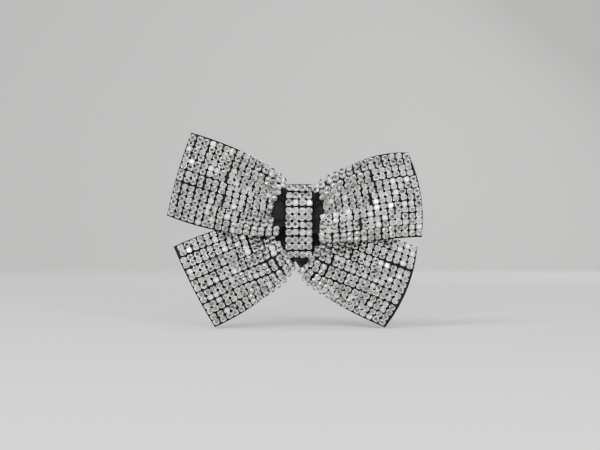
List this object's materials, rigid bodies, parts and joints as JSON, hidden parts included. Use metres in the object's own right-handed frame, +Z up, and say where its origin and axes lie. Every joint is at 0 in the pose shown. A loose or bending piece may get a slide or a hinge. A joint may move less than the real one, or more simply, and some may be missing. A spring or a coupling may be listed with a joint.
{
  "type": "bow brooch",
  "caption": "Black ribbon bow brooch faced with clear crystal banding, with looped upper lobes, flat lower tails, a banded centre knot and a bar pin on the back.",
  "frame": {"origin": "centre of the rear face of the felt pad, the face that lies against the garment", "axes": "+X to the wearer-facing viewer's right along the bow, +Y backwards out of the pad towards the garment, +Z up as worn; the crystal front faces -Y"},
  "size_m": [0.0972, 0.0202, 0.0741],
  "materials": {
    "black_ribbon": "fine cross-ribbed satin",
    "crystal_banding": "clear foiled glass stones in silver-coloured cups",
    "black_thread": "twisted polyester",
    "black_felt": "matt felt",
    "nickel_plated_steel": "nickel plated"
  },
  "bodies": {
    "brooch_body": {"ribbon_upper_left": "black_ribbon", "crystals_upper_left_1": "crystal_banding", "crystals_upper_left_2": "crystal_banding", "crystals_upper_left_3": "crystal_banding", "crystals_upper_left_4": "crystal_banding", "crystals_upper_left_5": "crystal_banding", "crystals_upper_left_6": "crystal_banding", "crystals_upper_left_7": "crystal_banding", "ribbon_upper_right": "black_ribbon", "crystals_upper_right_1": "crystal_banding", "crystals_upper_right_2": "crystal_banding", "crystals_upper_right_3": "crystal_banding", "crystals_upper_right_4": "crystal_banding", "crystals_upper_right_5": "crystal_banding", "crystals_upper_right_6": "crystal_banding", "crystals_upper_right_7": "crystal_banding", "ribbon_lower_left": "black_ribbon", "crystals_lower_left_1": "crystal_banding", "crystals_lower_left_2": "crystal_banding", "crystals_lower_left_3": "crystal_banding", "crystals_lower_left_4": "crystal_banding", "crystals_lower_left_5": "crystal_banding", "crystals_lower_left_6": "crystal_banding", "crystals_lower_left_7": "crystal_banding", "ribbon_lower_right": "black_ribbon", "crystals_lower_right_1": "crystal_banding", "crystals_lower_right_2": "crystal_banding", "crystals_lower_right_3": "crystal_banding", "crystals_lower_right_4": "crystal_banding", "crystals_lower_right_5": "crystal_banding", "crystals_lower_right_6": "crystal_banding", "crystals_lower_right_7": "crystal_banding", "knot_band": "black_ribbon", "crystals_knot_left": "crystal_banding", "crystals_knot_right": "crystal_banding", "waist_core": "black_ribbon", "waist_thread": "black_thread", "felt_pad": "black_felt", "pin_bar": "nickel_plated_steel", "hinge_rivet": "nickel_plated_steel", "catch_housing": "nickel_plated_steel", "bar_stitch_1": "black_thread", "bar_stitch_2": "black_thread", "bar_stitch_3": "black_thread", "bar_stitch_4": "black_thread"},
    "stem_body": {"pin_stem": "nickel_plated_steel"},
    "roller_body": {"catch_roller": "nickel_plated_steel"}
  },
  "joints": [
    {"name": "pin_swing", "type": "hinge", "parent": "brooch_body", "child": "stem_body", "pos_m": [-0.015, 0.0035, 0.006], "axis": [0, 0, 1], "range_deg": [0, 80]},
    {"name": "catch_turn", "type": "hinge", "parent": "brooch_body", "child": "roller_body", "pos_m": [0.014, 0.0035, 0.006], "axis": [1, 0, 0], "range_deg": [0, 120]}
  ]
}
